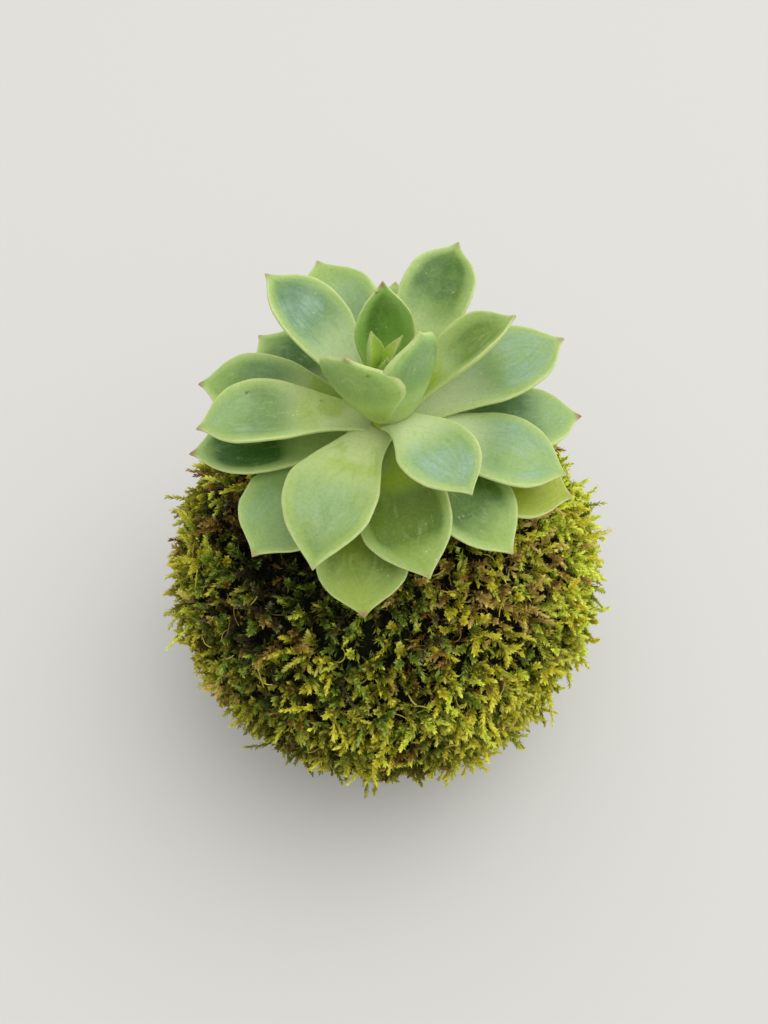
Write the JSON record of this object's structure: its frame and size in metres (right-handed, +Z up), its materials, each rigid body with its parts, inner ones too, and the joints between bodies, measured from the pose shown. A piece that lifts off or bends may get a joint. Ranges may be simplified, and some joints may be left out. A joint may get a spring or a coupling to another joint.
{
  "type": "kokedama moss ball plant",
  "caption": "Moss-wrapped soil ball resting on a small flat spot, with a succulent rosette of thick pointed leaves on a short stem.",
  "frame": {"origin": "centre of the flat resting spot under the ball", "axes": "+Z up along the stem, -Y towards the side seen from the front, +X to the right of that view"},
  "size_m": [0.1307, 0.1287, 0.1499],
  "materials": {
    "soil": "damp crumbly soil",
    "moss": "feathery living moss, matt",
    "stem": "waxy plant stem",
    "bud": "waxy young leaf",
    "leaf": "waxy leaf with a pale bloom",
    "leaf_inner": "waxy young leaf with a pale bloom",
    "leaf_yellow": "waxy ageing leaf"
  },
  "bodies": {
    "root": {"soil_core": "soil", "moss_cover": "moss", "stem": "stem", "bud": "bud", "leaf_01": "leaf", "leaf_02": "leaf", "leaf_03": "leaf", "leaf_04": "leaf_yellow", "leaf_05": "leaf", "leaf_06": "leaf", "leaf_07": "leaf", "leaf_08": "leaf", "leaf_09": "leaf", "leaf_10": "leaf", "leaf_11": "leaf", "leaf_12": "leaf", "leaf_13": "leaf", "leaf_14": "leaf", "leaf_15": "leaf", "leaf_16": "leaf", "leaf_17": "leaf", "leaf_18": "leaf", "leaf_19": "leaf", "leaf_20": "leaf", "leaf_21": "leaf", "leaf_22": "leaf_inner", "leaf_23": "leaf_inner", "leaf_24": "leaf_inner"}
  },
  "joints": []
}
